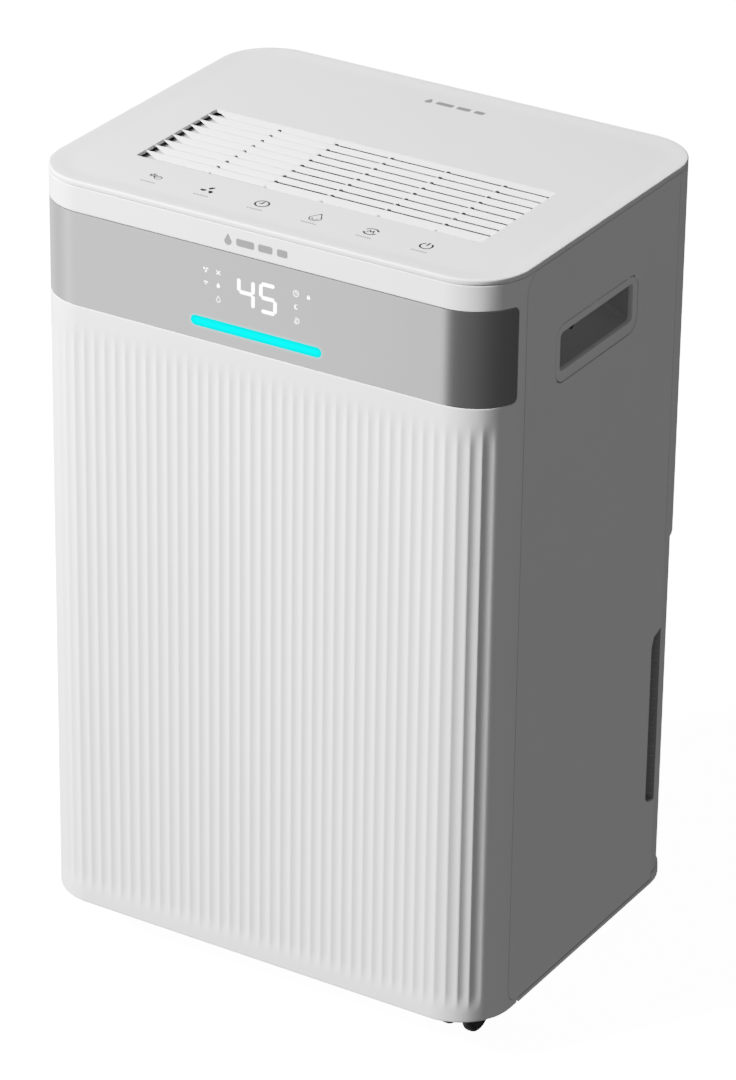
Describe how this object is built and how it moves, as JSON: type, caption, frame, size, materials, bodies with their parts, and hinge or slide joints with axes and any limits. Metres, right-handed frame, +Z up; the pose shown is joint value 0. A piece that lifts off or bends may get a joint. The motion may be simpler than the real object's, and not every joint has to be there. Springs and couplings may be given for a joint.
{
  "type": "dehumidifier",
  "caption": "Upright portable dehumidifier with fluted front, wrapped display band, louvred top outlet, rear water tank and swivel casters.",
  "frame": {"origin": "on the floor, under the middle of the body", "axes": "+Z up, -Y out of the display front, +X to the right of someone facing the front"},
  "size_m": [0.386, 0.297, 0.6245],
  "materials": {
    "white_plastic": "fine satin, faint moulded grain",
    "silver_film": "metallised film with fine horizontal brushing",
    "light_cyan": "translucent, lit from behind",
    "black_plastic": "satin",
    "wheel_plastic": "satin tread",
    "grey_plastic": "moulded",
    "tank_plastic": "satin, slightly cloudy",
    "galvanised_steel": "zinc coated",
    "axle_steel": "drawn",
    "enamelled_steel": "semi-gloss enamel",
    "copper": "drawn copper tube",
    "aluminium": "rolled fin stock",
    "rubber": "matt",
    "circuit_board": "solder mask",
    "filter_cloth": "woven mesh"
  },
  "bodies": {
    "casing": {"accumulator": "enamelled_steel", "base_pan": "white_plastic", "blower_housing": "grey_plastic", "capillary_tube": "copper", "chassis_frame": "galvanised_steel", "compressor": "enamelled_steel", "compressor_mat": "rubber", "condenser_coil": "aluminium", "control_board": "circuit_board", "control_box": "galvanised_steel", "cord_gland": "rubber", "digit_module": "black_plastic", "discharge_pipe": "copper", "display_band": "silver_film", "display_board": "circuit_board", "drain_spout": "grey_plastic", "drip_tray": "grey_plastic", "evaporator_coil": "aluminium", "fan_motor": "galvanised_steel", "front_panel": "white_plastic", "handle_cup_left": "white_plastic", "handle_cup_right": "white_plastic", "humidity_sensor": "grey_plastic", "ioniser": "black_plastic", "level_switch": "black_plastic", "light_bar_lens": "light_cyan", "outlet_grille": "white_plastic", "rear_cover": "white_plastic", "rear_screw_left": "galvanised_steel", "rear_screw_right": "galvanised_steel", "run_capacitor": "aluminium", "side_panel_left": "white_plastic", "side_panel_right": "white_plastic", "suction_pipe": "copper", "top_cover": "white_plastic", "touch_board": "circuit_board"},
    "tank": {"water_tank": "tank_plastic", "tank_cover": "tank_plastic"},
    "float": {"tank_float": "white_plastic"},
    "filter": {"intake_grille": "white_plastic", "filter_mesh": "filter_cloth"},
    "drain_plug": {"drain_plug": "rubber"},
    "blower": {"blower_wheel": "black_plastic", "motor_shaft": "galvanised_steel"},
    "caster_front_left": {"caster_hood_front_left": "black_plastic", "caster_axle_front_left": "axle_steel"},
    "wheel_front_left_inner": {"caster_wheel_front_left_inner": "wheel_plastic"},
    "wheel_front_left_outer": {"caster_wheel_front_left_outer": "wheel_plastic"},
    "caster_front_right": {"caster_hood_front_right": "black_plastic", "caster_axle_front_right": "axle_steel"},
    "wheel_front_right_inner": {"caster_wheel_front_right_inner": "wheel_plastic"},
    "wheel_front_right_outer": {"caster_wheel_front_right_outer": "wheel_plastic"},
    "caster_rear_left": {"caster_hood_rear_left": "black_plastic", "caster_axle_rear_left": "axle_steel"},
    "wheel_rear_left_inner": {"caster_wheel_rear_left_inner": "wheel_plastic"},
    "wheel_rear_left_outer": {"caster_wheel_rear_left_outer": "wheel_plastic"},
    "caster_rear_right": {"caster_hood_rear_right": "black_plastic", "caster_axle_rear_right": "axle_steel"},
    "wheel_rear_right_inner": {"caster_wheel_rear_right_inner": "wheel_plastic"},
    "wheel_rear_right_outer": {"caster_wheel_rear_right_outer": "wheel_plastic"}
  },
  "joints": [
    {"name": "tank_slide", "type": "slide", "parent": "casing", "child": "tank", "axis": [0, 1, 0], "range_m": [0, 0.12]},
    {"name": "float_rise", "type": "slide", "parent": "tank", "child": "float", "axis": [0, 0, 1], "range_m": [0, 0.012]},
    {"name": "filter_pull", "type": "slide", "parent": "casing", "child": "filter", "axis": [0, 1, 0], "range_m": [0, 0.06]},
    {"name": "drain_plug_pull", "type": "slide", "parent": "casing", "child": "drain_plug", "axis": [0, 1, 0], "range_m": [0, 0.03]},
    {"name": "blower_spin", "type": "hinge", "parent": "casing", "child": "blower", "pos_m": [0.02, -0.005, 0.4471], "axis": [0, 1, 0], "continuous": true},
    {"name": "caster_swivel_front_left", "type": "hinge", "parent": "casing", "child": "caster_front_left", "pos_m": [-0.1445, -0.096, 0.0395], "axis": [0, 0, 1], "continuous": true},
    {"name": "wheel_spin_front_left_inner", "type": "hinge", "parent": "caster_front_left", "child": "wheel_front_left_inner", "pos_m": [-0.1345, -0.088, 0.016], "axis": [1, 0, 0], "continuous": true},
    {"name": "wheel_spin_front_left_outer", "type": "hinge", "parent": "caster_front_left", "child": "wheel_front_left_outer", "pos_m": [-0.1545, -0.088, 0.016], "axis": [1, 0, 0], "continuous": true},
    {"name": "caster_swivel_front_right", "type": "hinge", "parent": "casing", "child": "caster_front_right", "pos_m": [0.1445, -0.096, 0.0395], "axis": [0, 0, 1], "continuous": true},
    {"name": "wheel_spin_front_right_inner", "type": "hinge", "parent": "caster_front_right", "child": "wheel_front_right_inner", "pos_m": [0.1345, -0.088, 0.016], "axis": [1, 0, 0], "continuous": true},
    {"name": "wheel_spin_front_right_outer", "type": "hinge", "parent": "caster_front_right", "child": "wheel_front_right_outer", "pos_m": [0.1545, -0.088, 0.016], "axis": [1, 0, 0], "continuous": true},
    {"name": "caster_swivel_rear_left", "type": "hinge", "parent": "casing", "child": "caster_rear_left", "pos_m": [-0.1445, 0.096, 0.0395], "axis": [0, 0, 1], "continuous": true},
    {"name": "wheel_spin_rear_left_inner", "type": "hinge", "parent": "caster_rear_left", "child": "wheel_rear_left_inner", "pos_m": [-0.1345, 0.104, 0.016], "axis": [1, 0, 0], "continuous": true},
    {"name": "wheel_spin_rear_left_outer", "type": "hinge", "parent": "caster_rear_left", "child": "wheel_rear_left_outer", "pos_m": [-0.1545, 0.104, 0.016], "axis": [1, 0, 0], "continuous": true},
    {"name": "caster_swivel_rear_right", "type": "hinge", "parent": "casing", "child": "caster_rear_right", "pos_m": [0.1445, 0.096, 0.0395], "axis": [0, 0, 1], "continuous": true},
    {"name": "wheel_spin_rear_right_inner", "type": "hinge", "parent": "caster_rear_right", "child": "wheel_rear_right_inner", "pos_m": [0.1345, 0.104, 0.016], "axis": [1, 0, 0], "continuous": true},
    {"name": "wheel_spin_rear_right_outer", "type": "hinge", "parent": "caster_rear_right", "child": "wheel_rear_right_outer", "pos_m": [0.1545, 0.104, 0.016], "axis": [1, 0, 0], "continuous": true}
  ]
}
